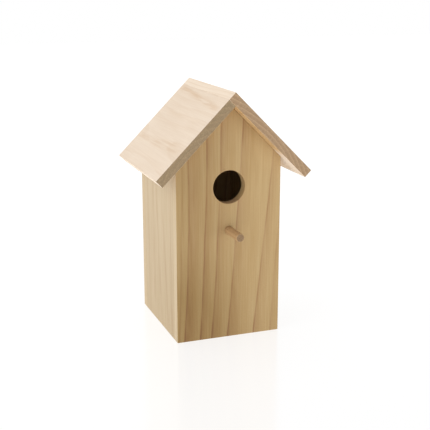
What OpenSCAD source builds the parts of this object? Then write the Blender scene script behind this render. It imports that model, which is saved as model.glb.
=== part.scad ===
// Gabled nest box in pine board, with a clean-out door in its right side wall.
// The origin is the middle of the base: +X is right and -Y is front, +Z is up.

/* [Walls] */
// Outside width, across the front
body_w = 105; // [96:1:130]
// Outside depth, from the front face to the back face
body_d = 116; // [105:1:150]
// Thickness of the wall and floor boards
wall_t = 10; // [9:0.5:12]
// Height of the inside of the ridge above the base
apex_h = 228; // [215:0.5:260]

/* [Roof] */
// Thickness of the roof boards
roof_t = 9; // [8:0.5:12]
// Left slope, from the ridge to the eave
roof_left_l = 108; // [100:0.5:120]
// Right slope, from the ridge to the eave
roof_right_l = 109; // [100:0.5:120]
// How far the roof stands out in front of the front face
roof_front = 16; // [10:1:30]

/* [Entrance] */
// Diameter of the entrance hole
entrance_d = 32; // [25:1:38]
// Height of the middle of the entrance hole
entrance_z = 150; // [140:1:156]
// Diameter of the perch
perch_d = 8; // [6:1:10]
// Height of the middle of the perch
perch_z = 108; // [95:1:115]
// How far the perch stands out of the front face
perch_out = 29; // [15:1:40]

/* [Clean-out door] */
// Height of the door's pivot pins
pivot_z = 167; // [160:1:168]
// Gap round the door
door_gap = 0.5; // [0.4:0.1:1]
// Diameter of the pivot pins
pivot_d = 3; // [2.5:0.5:4]
// Height of the turn button's screw
button_z = 46; // [40:1:120]
// Length of the turn button, end to end
button_l = 27; // [22:1:34]
// Width of the turn button
button_w = 9; // [7:0.5:9]
// Thickness of the turn button
button_t = 2; // [1.5:0.5:3]

/* [Hanger] */
// Height of the keyhole's round end
keyhole_z = 180; // [175:1:182]
// Diameter of the keyhole's round end
keyhole_d = 9; // [8:0.5:10]
// Length of the hanger plate, end to end
plate_l = 50; // [46:1:54]
// Width of the hanger plate
plate_w = 16; // [14:1:18]
// Thickness of the hanger plate
plate_t = 1.5; // [1:0.5:2]

/* [Brads] */
// Length of the brads
brad_l = 25; // [20:1:26]
// Diameter of a brad's shank
brad_d = 1.4; // [1.2:0.1:1.6]

/* [Hidden] */
$fn = 64;

// Walls
half_w = body_w / 2;
front_y = -body_d / 2;
back_y = body_d / 2;
inside_x = half_w - wall_t;
inside_y = back_y - wall_t;
inside_d = 2 * inside_y;
// The roof pitch is 45 degrees, so a wall loses as much height as it is away from the middle
outer_wall_h = apex_h - half_w;
inner_wall_h = apex_h - inside_x;
drain_cut = 9;
finger_r = 12;

// Roof
pitch = 45;
ridge_h = apex_h + roof_t / cos(pitch);
roof_d = body_d + roof_front;

// Door
door_lift = 1;
door_top_gap = 1.2;
pivot_x = half_w - wall_t / 2;
pivot_fit = 0.05;
pin_in_panel = 6;
pin_in_door = 9.5;
pin_bore = 10;

// Turn button and its screw
washer_t = 0.8;
button_gap = 0.1;
button_y = back_y - wall_t / 2;
button_x = half_w + washer_t + button_gap;
button_screw_d = 3.2;
button_screw_l = 16;
button_head_d = 6.4;
button_head_h = 2;
washer_d = 6.6;
screw_head_x = button_x + button_t + button_gap;

// Hanger plate, its pocket and its screws
plate_z = keyhole_z + 5;
slot_w = 4.6;
slot_rise = 9;
pocket_r = 6;
pocket_depth = 6.5;
plate_screw_d = 3;
plate_head_d = 6;
plate_screw_l = 8;
plate_screw_reach = plate_l / 2 - 6;

// Brads
brad_set = 1.5;
brad_head_d = 2.2;
brad_head_h = 0.8;
side_brad_z = [25, 90, 150];
floor_brad_x = 25;
roof_brad_s = [30, 65];
ridge_brad_y = [-55, -8, 39];

// Colours
pine_front = [0.74, 0.60, 0.42];
pine_side = [0.82, 0.73, 0.58];
pine_roof = [0.90, 0.84, 0.75];
steel = [0.70, 0.71, 0.73];
brass = [0.80, 0.65, 0.35];

// One brad, driven down from the surface at the origin and set below it
module brad() {
    translate([0, 0, -brad_set - brad_head_h])
        cylinder(d = brad_head_d, h = brad_head_h);
    translate([0, 0, -brad_set - brad_l])
        cylinder(d = brad_d, h = brad_l);
}

// Places children on the left roof slope, their -Z pointing into the roof
module on_left_slope(along, y) {
    translate([-along * cos(pitch), y, ridge_h - along * sin(pitch)])
        rotate([0, -pitch, 0])
            children();
}

// The outline of the front and back walls, pointed to fit under the roof
module gable_outline() {
    polygon([
        [-half_w, 0],
        [half_w, 0],
        [half_w, outer_wall_h],
        [0, apex_h],
        [-half_w, outer_wall_h]
    ]);
}

// A gable board whose front face is at y
module gable_board(y) {
    translate([0, y + wall_t, 0])
        rotate([90, 0, 0])
            linear_extrude(wall_t)
                gable_outline();
}

// A rod along Y
module y_rod(x, z, y0, y1, d) {
    translate([x, y1, z])
        rotate([90, 0, 0])
            cylinder(d = d, h = y1 - y0);
}

// A rod along X
module x_rod(y, z, x0, x1, d) {
    translate([x0, y, z])
        rotate([0, 90, 0])
            cylinder(d = d, h = x1 - x0);
}

// A flat bar with round ends, its middle line running up from the origin
module round_bar(rise, width, thick) {
    translate([-width / 2, 0, 0])
        cube([width, rise, thick]);
    for (y = [0, rise])
        translate([0, y, 0])
            cylinder(d = width, h = thick);
}

// Turns a flat bar drawn in XY so that it stands up, its thickness running back from y
module stand_on_back(z, y) {
    translate([0, y, z])
        rotate([90, 0, 0])
            children();
}

module front_brad_set() {
    for (z = side_brad_z)
        translate([-pivot_x, front_y, z])
            rotate([90, 0, 0])
                brad();
    for (x = [-floor_brad_x, floor_brad_x])
        translate([x, front_y, wall_t / 2])
            rotate([90, 0, 0])
                brad();
}

module back_brad_set() {
    mirror([0, 1, 0])
        front_brad_set();
}

module floor_brad_set() {
    for (y = [-floor_brad_x, floor_brad_x])
        translate([-half_w, y, wall_t / 2])
            rotate([0, -90, 0])
                brad();
}

module slope_brad_set() {
    for (along = roof_brad_s, y = [front_y + wall_t / 2, back_y - wall_t / 2])
        on_left_slope(along, y)
            brad();
}

module ridge_brad_set() {
    for (y = ridge_brad_y)
        mirror([1, 0, 0])
            on_left_slope(roof_t / 2, y)
                brad();
}

module pivot_pin(y_side) {
    mirror([0, y_side, 0])
        y_rod(pivot_x, pivot_z, -inside_y - pin_in_panel,
              -inside_y + door_gap + pin_in_door, pivot_d);
}

module hanger_screw(z) {
    difference() {
        union() {
            y_rod(0, z, back_y - plate_screw_l, back_y - plate_t, plate_screw_d);
            translate([0, back_y, z])
                rotate([90, 0, 0])
                    cylinder(d1 = plate_head_d, d2 = plate_screw_d, h = plate_t);
        }
        for (turn = [0, 90])
            translate([0, back_y, z])
                rotate([0, turn, 0])
                    cube([0.7, 1.6, 3.4], center = true);
    }
}

module front_panel() {
    color(pine_front)
        difference() {
            gable_board(front_y);
            y_rod(0, entrance_z, front_y - 1, front_y + wall_t + 1, entrance_d);
            y_rod(0, perch_z, front_y - 1, front_y + wall_t + 1, perch_d);
            pivot_pin(0);
            front_brad_set();
            slope_brad_set();
            mirror([1, 0, 0])
                slope_brad_set();
        }
}

module back_panel() {
    color(pine_front)
        difference() {
            gable_board(inside_y);
            stand_on_back(plate_z - plate_l / 2 + plate_w / 2, back_y + 1)
                round_bar(plate_l - plate_w, plate_w, plate_t + 1);
            stand_on_back(keyhole_z, back_y)
                round_bar(slot_rise + 1, 2 * pocket_r, pocket_depth);
            for (side = [-1, 1])
                y_rod(0, plate_z + side * plate_screw_reach,
                      back_y - plate_screw_l, back_y, plate_screw_d);
            x_rod(button_y, button_z, half_w - button_screw_l, half_w + 1, button_screw_d);
            pivot_pin(1);
            back_brad_set();
            slope_brad_set();
            mirror([1, 0, 0])
                slope_brad_set();
        }
}

module left_side() {
    color(pine_side)
        difference() {
            translate([0, inside_y, 0])
                rotate([90, 0, 0])
                    linear_extrude(inside_d)
                        polygon([
                            [-half_w, 0],
                            [-inside_x, 0],
                            [-inside_x, inner_wall_h],
                            [-half_w, outer_wall_h]
                        ]);
            front_brad_set();
            back_brad_set();
            floor_brad_set();
        }
}

// The floor's corners are cut off for drainage, and its right edge has a finger notch
module floor_board() {
    edge_x = inside_x - door_gap;
    color(pine_side)
        difference() {
            linear_extrude(wall_t)
                polygon([
                    [-inside_x + drain_cut, -inside_y],
                    [edge_x - drain_cut, -inside_y],
                    [edge_x, -inside_y + drain_cut],
                    [edge_x, inside_y - drain_cut],
                    [edge_x - drain_cut, inside_y],
                    [-inside_x + drain_cut, inside_y],
                    [-inside_x, inside_y - drain_cut],
                    [-inside_x, -inside_y + drain_cut]
                ]);
            translate([edge_x, 0, -1])
                cylinder(r = finger_r, h = wall_t + 2);
            front_brad_set();
            back_brad_set();
            floor_brad_set();
        }
}

module side_door() {
    color(pine_side)
        difference() {
            translate([0, inside_y - door_gap, 0])
                rotate([90, 0, 0])
                    linear_extrude(inside_d - 2 * door_gap)
                        polygon([
                            [inside_x, door_lift],
                            [half_w, door_lift],
                            [half_w, outer_wall_h - door_top_gap],
                            [inside_x, inner_wall_h - door_top_gap]
                        ]);
            for (side = [0, 1])
                mirror([0, side, 0])
                    y_rod(pivot_x, pivot_z, -inside_y - 1, -inside_y + door_gap + pin_bore,
                          pivot_d + 2 * pivot_fit);
        }
}

// The left roof board stops under the right one, which laps over its upper end
module roof_left() {
    color(pine_roof)
        difference() {
            on_left_slope(0, front_y - roof_front)
                translate([-roof_left_l, 0, -roof_t])
                    cube([roof_left_l - roof_t, roof_d, roof_t]);
            slope_brad_set();
            ridge_brad_set();
        }
}

module roof_right() {
    color(pine_roof)
        difference() {
            mirror([1, 0, 0])
                on_left_slope(0, front_y - roof_front)
                    translate([-roof_right_l, 0, -roof_t])
                        cube([roof_right_l, roof_d, roof_t]);
            mirror([1, 0, 0])
                slope_brad_set();
            ridge_brad_set();
        }
}

module perch() {
    chamfer = 0.6;
    color(pine_front) {
        y_rod(0, perch_z, front_y - perch_out + chamfer, front_y + wall_t, perch_d);
        translate([0, front_y - perch_out + chamfer, perch_z])
            rotate([90, 0, 0])
                cylinder(d1 = perch_d, d2 = perch_d - 2 * chamfer, h = chamfer);
    }
}

module door_pivot_pins() {
    color(steel)
        for (side = [0, 1])
            pivot_pin(side);
}

// The button hangs down from its screw when it is released
module turn_button() {
    color(brass)
        difference() {
            translate([button_x, button_y, button_z])
                rotate([90, 0, 90])
                    mirror([0, 1, 0])
                        round_bar(button_l - button_w, button_w, button_t);
            x_rod(button_y, button_z, half_w, screw_head_x + 1,
                  button_screw_d + 2 * pivot_fit);
        }
}

module turn_button_washer() {
    color(steel)
        difference() {
            x_rod(button_y, button_z, half_w, half_w + washer_t, washer_d);
            x_rod(button_y, button_z, half_w - 1, half_w + washer_t + 1, button_screw_d);
        }
}

module turn_button_screw() {
    color(steel)
        difference() {
            union() {
                x_rod(button_y, button_z, half_w - button_screw_l, screw_head_x, button_screw_d);
                x_rod(button_y, button_z, screw_head_x, screw_head_x + button_head_h / 2,
                      button_head_d);
                translate([screw_head_x + button_head_h / 2, button_y, button_z])
                    rotate([0, 90, 0])
                        cylinder(d1 = button_head_d, d2 = button_head_d - 2,
                                 h = button_head_h / 2);
            }
            for (turn = [0, 90])
                translate([screw_head_x + button_head_h, button_y, button_z])
                    rotate([turn, 0, 0])
                        cube([2, 0.8, 4], center = true);
        }
}

module hanger_plate() {
    color(steel)
        difference() {
            stand_on_back(plate_z - plate_l / 2 + plate_w / 2, back_y)
                round_bar(plate_l - plate_w, plate_w, plate_t);
            y_rod(0, keyhole_z, back_y - plate_t - 1, back_y + 1, keyhole_d);
            stand_on_back(keyhole_z, back_y + 1)
                round_bar(slot_rise, slot_w, plate_t + 2);
            for (side = [-1, 1])
                translate([0, back_y, plate_z + side * plate_screw_reach])
                    rotate([90, 0, 0])
                        cylinder(d1 = plate_head_d, d2 = plate_screw_d, h = plate_t);
        }
}

module hanger_screws() {
    color(steel)
        for (side = [-1, 1])
            hanger_screw(plate_z + side * plate_screw_reach);
}

module front_brads() {
    color(steel)
        front_brad_set();
}

module back_brads() {
    color(steel)
        back_brad_set();
}

module floor_brads() {
    color(steel)
        floor_brad_set();
}

module roof_left_brads() {
    color(steel)
        slope_brad_set();
}

module roof_right_brads() {
    color(steel)
        mirror([1, 0, 0])
            slope_brad_set();
}

module ridge_brads() {
    color(steel)
        ridge_brad_set();
}

front_panel();
back_panel();
left_side();
floor_board();
side_door();
roof_left();
roof_right();
perch();
door_pivot_pins();
turn_button();
turn_button_washer();
turn_button_screw();
hanger_plate();
hanger_screws();
front_brads();
back_brads();
floor_brads();
roof_left_brads();
roof_right_brads();
ridge_brads();
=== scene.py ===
import math

import bmesh
import bpy
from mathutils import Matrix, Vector


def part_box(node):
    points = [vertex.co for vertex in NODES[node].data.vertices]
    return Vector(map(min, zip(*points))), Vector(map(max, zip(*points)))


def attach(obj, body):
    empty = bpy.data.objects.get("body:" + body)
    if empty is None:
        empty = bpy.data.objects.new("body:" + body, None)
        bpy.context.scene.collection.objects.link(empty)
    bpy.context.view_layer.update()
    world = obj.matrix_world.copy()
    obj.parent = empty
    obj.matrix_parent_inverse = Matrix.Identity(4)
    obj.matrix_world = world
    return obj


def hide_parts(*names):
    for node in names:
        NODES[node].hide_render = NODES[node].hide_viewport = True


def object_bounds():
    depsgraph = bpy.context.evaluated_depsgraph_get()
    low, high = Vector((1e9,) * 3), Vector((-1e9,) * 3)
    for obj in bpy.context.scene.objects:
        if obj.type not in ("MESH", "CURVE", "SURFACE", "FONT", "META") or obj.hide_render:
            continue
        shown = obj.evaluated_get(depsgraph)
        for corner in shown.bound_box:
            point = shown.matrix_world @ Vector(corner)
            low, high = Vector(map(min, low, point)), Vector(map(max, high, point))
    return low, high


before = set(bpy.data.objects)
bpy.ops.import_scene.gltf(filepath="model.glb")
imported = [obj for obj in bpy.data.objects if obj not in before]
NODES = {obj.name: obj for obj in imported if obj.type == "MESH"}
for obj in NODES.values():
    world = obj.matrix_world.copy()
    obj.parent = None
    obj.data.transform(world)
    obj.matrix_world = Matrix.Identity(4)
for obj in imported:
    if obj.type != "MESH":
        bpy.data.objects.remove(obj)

CAD_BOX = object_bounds()
MM = 0.001
SLOPE = math.radians(45)

# ---------------------------------------------------------------- places, from the frame
FRONT_LOW, FRONT_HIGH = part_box("front_panel")
FRONT_Y = FRONT_LOW.y
BACK_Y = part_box("back_panel")[1].y
HALF_WIDTH = FRONT_HIGH.x
RIDGE_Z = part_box("roof_right")[1].z
ROOF_FRONT_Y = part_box("roof_right")[0].y
PERCH_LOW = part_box("perch")[0]


# ---------------------------------------------------------------- node trees
class Num:
    """A number in a node tree. Arithmetic on it adds Math nodes."""

    def __init__(self, tree, socket):
        self.tree = tree
        self.socket = socket

    def math(self, operation, *others, clamp=False):
        node = self.tree.nodes.new("ShaderNodeMath")
        node.operation = operation
        node.use_clamp = clamp
        for slot, value in enumerate((self, *others)):
            put(self.tree, node.inputs[slot], value)
        return Num(self.tree, node.outputs[0])

    def __add__(self, other):
        return self.math("ADD", other)

    def __sub__(self, other):
        return self.math("SUBTRACT", other)

    def __mul__(self, other):
        return self.math("MULTIPLY", other)

    def __truediv__(self, other):
        return self.math("DIVIDE", other)

    def __neg__(self):
        return self * -1.0

    def power(self, exponent):
        return self.math("POWER", exponent)

    def exp(self):
        return self.math("EXPONENT")

    def abs(self):
        return self.math("ABSOLUTE")

    def sqrt(self):
        return self.math("SQRT")

    def fract(self):
        return self.math("FRACT")

    def at_least(self, other):
        return self.math("MAXIMUM", other)

    def clamped(self):
        return self.math("ADD", 0.0, clamp=True)

    def step(self, low, high):
        """0 below low and 1 above high, smooth between them."""
        node = self.tree.nodes.new("ShaderNodeMapRange")
        node.interpolation_type = "SMOOTHSTEP"
        put(self.tree, node.inputs["Value"], self)
        put(self.tree, node.inputs["From Min"], low)
        put(self.tree, node.inputs["From Max"], high)
        return Num(self.tree, node.outputs["Result"])


def put(tree, socket, value):
    """Links a Num or a socket, or sets a plain value."""
    if isinstance(value, Num):
        tree.links.new(value.socket, socket)
    elif isinstance(value, bpy.types.NodeSocket):
        tree.links.new(value, socket)
    else:
        socket.default_value = value


class Surface:
    """A material and the nodes that its makers share."""

    def __init__(self, name):
        self.material = bpy.data.materials.new(name)
        self.material.use_nodes = True
        self.tree = self.material.node_tree
        self.shader = self.tree.nodes["Principled BSDF"]
        self.place = self.tree.nodes.new("ShaderNodeTexCoord")

    def along(self, direction, origin=(0, 0, 0)):
        """Distance from origin along a direction, in millimetres."""
        away = self.tree.nodes.new("ShaderNodeVectorMath")
        away.operation = "SUBTRACT"
        put(self.tree, away.inputs[0], self.place.outputs["Object"])
        away.inputs[1].default_value = origin
        dot = self.tree.nodes.new("ShaderNodeVectorMath")
        dot.operation = "DOT_PRODUCT"
        put(self.tree, dot.inputs[0], away.outputs[0])
        dot.inputs[1].default_value = Vector(direction) / MM
        return Num(self.tree, dot.outputs["Value"])

    def facing(self, direction):
        """1 where the surface faces along the direction or against it, 0 where it lies along it."""
        dot = self.tree.nodes.new("ShaderNodeVectorMath")
        dot.operation = "DOT_PRODUCT"
        put(self.tree, dot.inputs[0], self.place.outputs["Normal"])
        dot.inputs[1].default_value = direction
        return Num(self.tree, dot.outputs["Value"]).abs()

    def noise(self, a, b, c, detail=2.0, roughness=0.5):
        """Noise from 0 to 1 at the place (a, b, c)."""
        join = self.tree.nodes.new("ShaderNodeCombineXYZ")
        for slot, value in enumerate((a, b, c)):
            put(self.tree, join.inputs[slot], value)
        node = self.tree.nodes.new("ShaderNodeTexNoise")
        put(self.tree, node.inputs["Vector"], join.outputs[0])
        node.inputs["Scale"].default_value = 1.0
        node.inputs["Detail"].default_value = detail
        node.inputs["Roughness"].default_value = roughness
        return Num(self.tree, node.outputs["Fac"])

    def cells(self, a, b, c):
        """Distance to the nearest of a scatter of points, at the place (a, b, c)."""
        join = self.tree.nodes.new("ShaderNodeCombineXYZ")
        for slot, value in enumerate((a, b, c)):
            put(self.tree, join.inputs[slot], value)
        node = self.tree.nodes.new("ShaderNodeTexVoronoi")
        put(self.tree, node.inputs["Vector"], join.outputs[0])
        node.inputs["Scale"].default_value = 1.0
        return Num(self.tree, node.outputs["Distance"])

    def mix(self, amount, first, second, blend="MIX"):
        node = self.tree.nodes.new("ShaderNodeMix")
        node.data_type = "RGBA"
        node.blend_type = blend
        put(self.tree, node.inputs["Factor"], amount)
        put(self.tree, node.inputs[6], colour(first))
        put(self.tree, node.inputs[7], colour(second))
        return node.outputs[2]

    def bump(self, height, depth_mm, strength=1.0):
        node = self.tree.nodes.new("ShaderNodeBump")
        node.inputs["Distance"].default_value = depth_mm * MM
        node.inputs["Strength"].default_value = strength
        put(self.tree, node.inputs["Height"], height)
        put(self.tree, self.shader.inputs["Normal"], node.outputs[0])


def colour(value):
    """A colour given as 0 to 255 becomes a linear one; anything else passes through."""
    if not isinstance(value, tuple):
        return value
    return (*(((c / 255 + 0.055) / 1.055) ** 2.4 for c in value[:3]), 1.0)


# ---------------------------------------------------------------- wood
# Tints from 0 to 255: the first two vary the face from fibre to fibre, the others its cut ends
DARK_FIBRE = (226, 216, 204)
LIGHT_FIBRE = (255, 246, 230)
END_SPECKLE = (70, 50, 32)
END_MOTTLE = (238, 214, 176)
# How much lighter in red, green and blue the pale band beside a drawn ring is than the wood
PALE_BAND = (7, 12, 18)
# Heights, in mm from a board's end, at which the drawn lines are given
RING_MIDDLE = 100.0
STREAK_FAR = 130.0
# A streak fades in and out over twice this length, in mm
STREAK_FADE = 12.0
WOOD_SPECULAR = 0.2
GRAIN_DEPTH_MM = 0.06
GRAIN_STRENGTH = 0.6


class Board:
    """The directions of one board: along its grain, across its face and into its depth."""

    def __init__(self, origin, along, across, depth):
        self.origin, self.along, self.across, self.depth = origin, along, across, depth


def drawn_rings(surface, along, across, depth, lines):
    """Growth rings of a flat-sawn board. Each line is (across at the foot, at 100 mm, at 200 mm,
    strength, fade): dark at the line, fading out to its right, with a pale band on its left."""
    height = along / (2 * RING_MIDDLE)
    wobble = (surface.noise(along / 70, across / 60, depth / 60, 2.0) - 0.5) * 2.2
    fine = (surface.noise(along / 16, across / 2.5, depth / 4, 2.0) - 0.5) * 0.5
    foot = along.step(50.0, 0.0) * 0.7 + 1.15
    patchy = surface.noise(along / 38, across / 9, depth / 30, 2.0).step(0.3, 0.65) * 0.55 + 0.65
    dark = None
    pale = None
    for low, middle, high, strength, fade in lines:
        bend = 2 * (low + high) - 4 * middle
        lean = 4 * middle - 3 * low - high
        centre = (height * bend + lean) * height + low
        away = across - centre + wobble + fine + depth * 0.35
        tail = away.step(-1.0, 0.8) * (-((away.at_least(0.0) / fade).power(1.4))).exp()
        core = (-((away / 0.7).abs().power(1.6))).exp() * 0.75
        band = (-(((away + 3.2) / 2.6).abs().power(2.0))).exp() * strength
        ring = (tail * 0.45 + core) * foot * patchy * strength
        dark = ring if dark is None else dark.at_least(ring)
        pale = band if pale is None else pale + band
    return dark, pale


def soft_streaks(surface, along, across, depth, lines):
    """Faint resin streaks. Each line is (across at the board's end, at 130 mm, half width,
    strength, where it starts, where it stops)."""
    wobble = (surface.noise(along / 60, across / 50, depth / 40, 2.0) - 0.5) * 3.5
    patch = surface.noise(along / 34, across / 3.0, depth / 9, 3.0).step(0.3, 0.6)
    total = None
    for near, far, width, strength, start, stop in lines:
        away = across - along * ((far - near) / STREAK_FAR) - near + wobble
        streak = (-((away / width).abs().power(2.0))).exp() * strength
        begins = along.step(start - STREAK_FADE, start + STREAK_FADE)
        ends = along.step(stop + STREAK_FADE, stop - STREAK_FADE)
        streak = streak * begins * ends
        total = streak if total is None else total + streak
    return total * patch


def log_rings(surface, along, across, depth, pith, spacing, wander, sharp=4.0):
    """Growth rings of a board cut from a log whose heart runs at pith = (across, depth), in mm.
    Each ring darkens slowly and ends sharply."""
    drift_a = (surface.noise(along / 260, across / 150, depth / 150, 1.0) - 0.5) * wander
    drift_b = (surface.noise(along / 210 + 7.3, across / 150, depth / 150, 1.0) - 0.5) * wander
    a = across - pith[0] + drift_a
    b = depth - pith[1] + drift_b
    radius = (a * a + b * b).sqrt()
    fine = (surface.noise(along / 14, across / 3, depth / 3, 2.0) - 0.5) * 0.5
    ring = ((radius + fine) / spacing).fract()
    return ring.power(sharp) * ring.step(1.0, 0.93)


def pine(name, board, rings, early, late, end, strength=0.8, pale_tint=0.5, rough=0.62,
         streaks=0.5, end_strength=0.45, edge=None, shade=None, shaded=(0, 0, 0)):
    """Bare planed pine. rings gives the dark of the growth rings, and perhaps a pale band.
    edge is the colour of the board's long edges, where it isn't that of its face.
    shade gives how far painted shade takes the face towards the colour shaded, which multiplies it."""
    surface = Surface(name)
    along = surface.along(board.along, board.origin)
    across = surface.along(board.across, board.origin)
    depth = surface.along(board.depth, board.origin)
    made = rings(surface, along, across, depth)
    dark, pale = made if isinstance(made, tuple) else (made, None)

    broad = surface.noise(along / 160, across / 14, depth / 14, 3.0)
    streak = surface.noise(along / 60, across / 1.6, depth / 1.6, 4.0, 0.6)
    fibre = surface.noise(along / 11, across / 0.28, depth / 0.28, 3.0, 0.65)
    patch = surface.noise(along / 70, across / 40, depth / 40, 2.0)
    pores = surface.cells(along / 5.5, across / 0.55, depth / 0.55).step(0.16, 0.05)

    end_grain = surface.facing(board.along).step(0.75, 0.92)
    speckle = surface.noise(along / 0.8, across / 0.8, depth / 0.8, 3.0, 0.7)
    mottle = surface.noise(along / 2.2, across / 2.2, depth / 1.6, 2.0, 0.6)

    face = surface.mix((dark * strength).clamped(), early, late)
    if pale is not None:
        light = tuple(base + more for base, more in zip(early, PALE_BAND))
        face = surface.mix((pale * pale_tint).clamped(), face, light)
    near_edge = across.abs().step(HALF_WIDTH / MM - 2, HALF_WIDTH / MM - 1)
    side = surface.facing(board.across).step(0.7, 0.9) * near_edge
    if edge is not None:
        face = surface.mix(side * 0.9, face, edge)
    tone = (broad - 0.5) * 0.45 + (streak - 0.5) * streaks
    tone = tone + (fibre - 0.5) * 0.22 + (patch - 0.5) * 0.2
    darker = surface.mix(1.0, face, DARK_FIBRE, "MULTIPLY")
    lighter = surface.mix(0.14, face, LIGHT_FIBRE)
    face = surface.mix((tone * 0.9 + 0.5).clamped(), darker, lighter)
    face = surface.mix(pores * 0.28, face, late)
    # Painted shade: the face goes towards itself multiplied by shaded, as far as shade says, except
    # on the board's long edges.
    if shade is not None:
        amount = shade(surface, along, across, depth).clamped() * (side * -1.0 + 1.0)
        face = surface.mix(amount, face, surface.mix(1.0, face, shaded, "MULTIPLY"))
    cut = surface.mix((dark * end_strength).clamped(), end, surface.mix(0.62, end, late))
    cut = surface.mix(((speckle - 0.45) * 2.6).clamped(), cut, surface.mix(0.5, cut, END_SPECKLE))
    cut = surface.mix(((mottle - 0.5) * 2.0).clamped(), cut, surface.mix(0.3, cut, END_MOTTLE))
    both = surface.mix(end_grain, face, cut)
    put(surface.tree, surface.shader.inputs["Base Color"], both)

    gloss = (fibre - 0.5) * 0.12 + dark * -0.08 + end_grain * 0.25 + rough
    put(surface.tree, surface.shader.inputs["Roughness"], gloss.clamped())
    surface.shader.inputs["Specular IOR Level"].default_value = WOOD_SPECULAR
    relief = dark * 0.45 + (fibre - 0.5) * 0.8 + (streak - 0.5) * 0.5 - pores * 0.9
    relief = relief + (speckle - 0.5) * end_grain * 1.6
    surface.bump(relief, GRAIN_DEPTH_MM, GRAIN_STRENGTH)
    return surface.material


# ---------------------------------------------------------------- metal
def metal(name, tint, rough, brush, scale=1.0):
    """Plated or solid metal with fine brushing along a direction, and small stains."""
    surface = Surface(name)
    along = surface.along(brush)
    other = Vector(brush).orthogonal()
    across = surface.along(other)
    depth = surface.along(Vector(brush).cross(other))
    lines = surface.noise(along / 6, across / (0.09 * scale), depth / (0.09 * scale), 3.0, 0.6)
    stain = surface.noise(along / 3, across / 3, depth / 3, 3.0)
    shade = surface.mix((lines * 0.5 + stain * 0.5).clamped(), tuple(c * 0.78 for c in tint), tint)
    put(surface.tree, surface.shader.inputs["Base Color"], shade)
    surface.shader.inputs["Metallic"].default_value = 1.0
    put(surface.tree, surface.shader.inputs["Roughness"],
        ((lines - 0.5) * 0.15 + (stain - 0.5) * 0.2 + rough).clamped())
    surface.bump(lines, 0.01, 0.4)
    return surface.material


# ---------------------------------------------------------------- pieces
# Points closer than this are one; faces flatter than this are one; edges sharper than this are eased
WELD_MM = 0.002
FLAT = math.radians(0.4)
SHARP = math.radians(30)


def smooth_by_angle(mesh, degrees=32):
    for polygon in mesh.polygons:
        polygon.use_smooth = True
    mesh.set_sharp_from_angle(angle=math.radians(degrees))


def eased(node, body, material, width_mm, shortest_mm=0.5):
    """A copy of a CAD board with its arrises rounded over, which replaces the CAD node.
    Edges shorter than shortest_mm belong to the nails' holes inside, and stay sharp."""
    mesh = bpy.data.meshes.new(node + "_eased")
    work = bmesh.new()
    work.from_mesh(NODES[node].data)
    bmesh.ops.remove_doubles(work, verts=work.verts, dist=WELD_MM * MM)
    bmesh.ops.dissolve_limit(work, angle_limit=FLAT, verts=work.verts, edges=work.edges)
    weight = work.edges.layers.float.new("bevel_weight_edge")
    for edge in work.edges:
        if len(edge.link_faces) != 2 or edge.calc_length() < shortest_mm * MM:
            continue
        if edge.calc_face_angle(0.0) > SHARP:
            edge[weight] = 1.0
    work.to_mesh(mesh)
    work.free()
    piece = bpy.data.objects.new(node + "_wood", mesh)
    bpy.context.scene.collection.objects.link(piece)
    smooth_by_angle(mesh)
    bevel = piece.modifiers.new("eased arrises", "BEVEL")
    bevel.limit_method = "WEIGHT"
    bevel.width = width_mm * MM
    bevel.segments = 3
    bevel.loop_slide = False
    bevel.harden_normals = True
    mesh.materials.append(material)
    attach(piece, body)
    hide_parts(node)
    return piece


def dress(node, material):
    """Gives a CAD node a material."""
    mesh = NODES[node].data
    mesh.materials.clear()
    mesh.materials.append(material)


UP, RIGHT, BACK = (0, 0, 1), (1, 0, 0), (0, 1, 0)
LEFT_DOWN = (-math.cos(SLOPE), 0, -math.sin(SLOPE))
LEFT_IN = (math.sin(SLOPE), 0, -math.cos(SLOPE))
RIGHT_DOWN = (math.cos(SLOPE), 0, -math.sin(SLOPE))
RIGHT_IN = (-math.sin(SLOPE), 0, -math.cos(SLOPE))

FRONT_LINES = [
    (-45.2, -40.6, -41.2, 1.00, 9.0),
    (-29.0, -24.3, -22.0, 0.85, 6.0),
    (-17.5, -11.2, -8.2, 0.80, 7.0),
    (-1.5, 6.8, 13.0, 0.80, 8.0),
    (25.5, 36.4, 46.5, 0.65, 7.0),
    (-50.5, -47.5, -46.0, 0.35, 2.0),
    (44.0, 50.5, 60.0, 0.30, 6.0),
]


PALE_EDGE = (195, 176, 143)
END_GRAIN = (172, 140, 104)


def front_rings(surface, along, across, depth):
    return drawn_rings(surface, along, across, depth, FRONT_LINES)


def from_log(pith, spacing, wander, sharp=4.0):
    def rings(surface, along, across, depth):
        return log_rings(surface, along, across, depth, pith, spacing, wander, sharp)
    return rings


def front_painted_shade(surface, along, across, depth):
    """Painted shade: the front board is darkened towards its foot and along its left side."""
    to_left = across.step(40.0, -40.0)
    return along.step(120.0, -20.0) * (to_left * 0.55 + 0.35) + to_left * 0.5


def left_painted_shade(surface, along, across, depth):
    """Painted shade: the left board is darkened towards its foot and its front."""
    return along.step(190.0, -20.0) * 0.7 + across.step(30.0, -60.0) * 0.15


def soffit_painted_shade(surface, along, across, depth):
    """Painted shade and painted warm bounce light: the underside of a roof board is darkened and
    warmed, except at its eave.
    """
    return depth.step(6.0, 8.0) * across.step(1.0, 5.0) * across.step(80.0, 68.0)


def roof_left_rings(surface, along, across, depth):
    streaks = soft_streaks(surface, along, across, depth, [
        (22.5, 12.0, 3.4, 1.0, 10.0, 128.0),
        (7.5, 10.5, 2.0, 0.7, 8.0, 40.0),
        (67.0, 80.3, 3.0, 0.8, 22.0, 124.0),
        (75.0, 81.5, 2.2, 0.5, 6.0, 80.0),
        (45.0, 40.0, 5.0, 0.25, 20.0, 110.0),
    ])
    return log_rings(surface, along, across, depth, (75, 70), 5.0, 16, 2.0) * 0.3 + streaks


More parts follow.
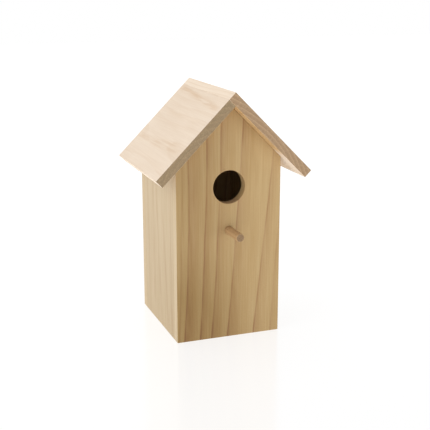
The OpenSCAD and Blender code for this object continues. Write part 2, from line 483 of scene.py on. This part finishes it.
def left_rings(surface, along, across, depth):
    streaks = soft_streaks(surface, along, across, depth, [
        (-30.0, -12.0, 3.0, 0.9, 10.0, 120.0),
        (-8.0, 6.0, 2.5, 0.7, 0.0, 150.0),
        (14.0, 18.0, 3.0, 0.7, 20.0, 190.0),
        (34.0, 36.0, 3.0, 0.6, 0.0, 200.0),
        (-42.0, -38.0, 2.5, 0.7, 0.0, 160.0),
    ])
    return log_rings(surface, along, across, depth, (160, 30), 5.3, 26, 2.0) * 0.35 + streaks


# The shaded colours below are the tints of the painted shade that the shade functions above place.
front_wood = pine(
    "pine front", Board((0, FRONT_Y, 0), UP, RIGHT, BACK), front_rings,
    early=(189, 159, 105), late=(148, 99, 42), end=END_GRAIN, streaks=0.9, pale_tint=0.45,
    edge=PALE_EDGE, shade=front_painted_shade, shaded=(208, 200, 180))
back_wood = pine(
    "pine back", Board((0, BACK_Y, 0), UP, (-1, 0, 0), (0, -1, 0)), from_log((14, 92), 5.5, 30),
    early=(210, 178, 128), late=(160, 108, 54), end=END_GRAIN, strength=0.7,
    edge=PALE_EDGE)
left_wood = pine(
    "pine left", Board((-HALF_WIDTH, 0, 0), UP, BACK, RIGHT), left_rings,
    early=(201, 184, 153), late=(172, 137, 96), end=END_GRAIN, strength=0.6,
    shade=left_painted_shade, shaded=(230, 224, 212), streaks=0.9)
door_wood = pine(
    "pine door", Board((HALF_WIDTH, 0, 0), UP, BACK, (-1, 0, 0)), from_log((-20, 60), 4.6, 24),
    early=(214, 190, 148), late=(170, 126, 74), end=END_GRAIN, strength=0.7)
floor_wood = pine(
    "pine floor", Board((0, 0, 0), BACK, RIGHT, UP), from_log((6, 70), 4.4, 24),
    early=(214, 188, 144), late=(168, 122, 72), end=END_GRAIN, strength=0.7)
roof_left_wood = pine(
    "pine roof left", Board((0, ROOF_FRONT_Y, RIDGE_Z), BACK, LEFT_DOWN, LEFT_IN),
    roof_left_rings, early=(235, 220, 203), late=(206, 172, 132), end=(148, 128, 100),
    strength=0.5, streaks=0.6, end_strength=0.8, shade=soffit_painted_shade, shaded=(248, 226, 196))
roof_right_wood = pine(
    "pine roof right", Board((0, ROOF_FRONT_Y, RIDGE_Z), BACK, RIGHT_DOWN, RIGHT_IN),
    from_log((50, 130), 3.8, 14, 3.0), early=(242, 228, 211), late=(212, 182, 146),
    end=(162, 134, 105), strength=0.35, end_strength=0.8,
    shade=soffit_painted_shade, shaded=(226, 206, 166))
perch_wood = pine(
    "pine perch", Board((0, FRONT_Y, PERCH_LOW.z), BACK, RIGHT, UP), from_log((9, -12), 1.6, 1.5),
    early=(178, 142, 92), late=(142, 98, 52), end=(142, 117, 89), strength=0.5)

eased("front_panel", "house", front_wood, 0.5)
eased("back_panel", "house", back_wood, 0.5)
eased("left_side", "house", left_wood, 0.4)
eased("floor_board", "house", floor_wood, 0.5)
eased("side_door", "door", door_wood, 0.6)
eased("roof_left", "house", roof_left_wood, 0.3)
eased("roof_right", "house", roof_right_wood, 0.3)
eased("perch", "house", perch_wood, 0.3, 0.2)

PLATE_STEEL = (190, 192, 196)
SCREW_STEEL = (176, 178, 184)
BRASS = (196, 158, 88)
zinc = metal("zinc plate", PLATE_STEEL, 0.34, UP)
screw_metal = metal("zinc screw", SCREW_STEEL, 0.3, RIGHT, 2.0)
brass = metal("brass", BRASS, 0.28, UP, 3.0)
dress("hanger_plate", zinc)
dress("turn_button", brass)
for node in ("hanger_screws", "turn_button_screw", "turn_button_washer", "door_pivot_pins",
             "front_brads", "back_brads", "floor_brads", "roof_left_brads", "roof_right_brads",
             "ridge_brads"):
    dress(node, screw_metal)


# ---------------------------------------------------------------- studio
# Glow that the camera sees, and glow that lights the house
FLOOR_SEEN, FLOOR_GIVEN = 0.76, 1.19
WORLD_SEEN, WORLD_GIVEN = 1.0, 0.62
FLOOR_GREY = (0.2, 0.2, 0.2, 1)
FLOOR_ROUGH = 0.14
FLOOR_SPECULAR = 0.8
FLOOR_HALF = 4.0
FLOOR_DROP = 0.1 * MM
WHITE = (1, 1, 1, 1)


def glow(tree, socket, seen, given):
    """Sets a strength that the camera sees at one level and the rest of the studio at another."""
    ray = tree.nodes.new("ShaderNodeLightPath")
    level = tree.nodes.new("ShaderNodeMapRange")
    level.inputs["To Min"].default_value = given
    level.inputs["To Max"].default_value = seen
    tree.links.new(ray.outputs["Is Camera Ray"], level.inputs["Value"])
    tree.links.new(level.outputs["Result"], socket)


def floor():
    surface = Surface("studio floor")
    surface.shader.inputs["Base Color"].default_value = FLOOR_GREY
    surface.shader.inputs["Emission Color"].default_value = WHITE
    strength = surface.shader.inputs["Emission Strength"]
    glow(surface.tree, strength, seen=FLOOR_SEEN, given=FLOOR_GIVEN)
    surface.shader.inputs["Roughness"].default_value = FLOOR_ROUGH
    surface.shader.inputs["Specular IOR Level"].default_value = FLOOR_SPECULAR
    half = FLOOR_HALF
    corners = [(-half, -half, 0), (half, -half, 0), (half, half, 0), (-half, half, 0)]
    mesh = bpy.data.meshes.new("studio floor")
    mesh.from_pydata(corners, [], [(0, 1, 2, 3)])
    mesh.materials.append(surface.material)
    plane = bpy.data.objects.new("studio_floor", mesh)
    plane.location.z = CAD_BOX[0].z - FLOOR_DROP
    bpy.context.scene.collection.objects.link(plane)


def soft_light(name, place, target, size, power):
    light = bpy.data.lights.new(name, "AREA")
    light.shape = "RECTANGLE"
    light.size, light.size_y = size
    light.energy = power
    lamp = bpy.data.objects.new(name, light)
    lamp.location = place
    lamp.rotation_euler = (Vector(target) - Vector(place)).to_track_quat("-Z", "Y").to_euler()
    bpy.context.scene.collection.objects.link(lamp)


def studio():
    world = bpy.data.worlds.new("studio")
    bpy.context.scene.world = world
    world.use_nodes = True
    tree = world.node_tree
    background = tree.nodes["Background"]
    background.inputs["Color"].default_value = WHITE
    glow(tree, background.inputs["Strength"], seen=WORLD_SEEN, given=WORLD_GIVEN)
    middle = (CAD_BOX[0] + CAD_BOX[1]) / 2
    soft_light("left softbox", (-1.5, -0.4, 0.9), middle, (1.4, 1.4), 11)
    soft_light("top softbox", (-0.3, 0.3, 1.8), middle, (1.6, 1.6), 7)
    soft_light("front fill", (0.7, -1.3, 0.12), middle, (0.9, 0.5), 2.5)


def camera():
    """A 75 mm lens, 0.9 m away, to the front left and a little above."""
    azimuth, elevation, distance = math.radians(-20.2), math.radians(14.8), 0.906
    aim = Vector((7.1, 0, 107.9)) * MM
    back = Vector((math.sin(azimuth) * math.cos(elevation),
                   -math.cos(azimuth) * math.cos(elevation), math.sin(elevation)))
    lens = bpy.data.cameras.new("camera")
    lens.lens = 74.98
    lens.sensor_width = 36.0
    lens.clip_start, lens.clip_end = 0.01, 50.0
    view = bpy.data.objects.new("camera", lens)
    view.location = aim + back * distance
    view.rotation_euler = (-back).to_track_quat("-Z", "Y").to_euler()
    bpy.context.scene.collection.objects.link(view)
    bpy.context.scene.camera = view


floor()
studio()
camera()
bpy.context.scene.view_settings.view_transform = "Standard"
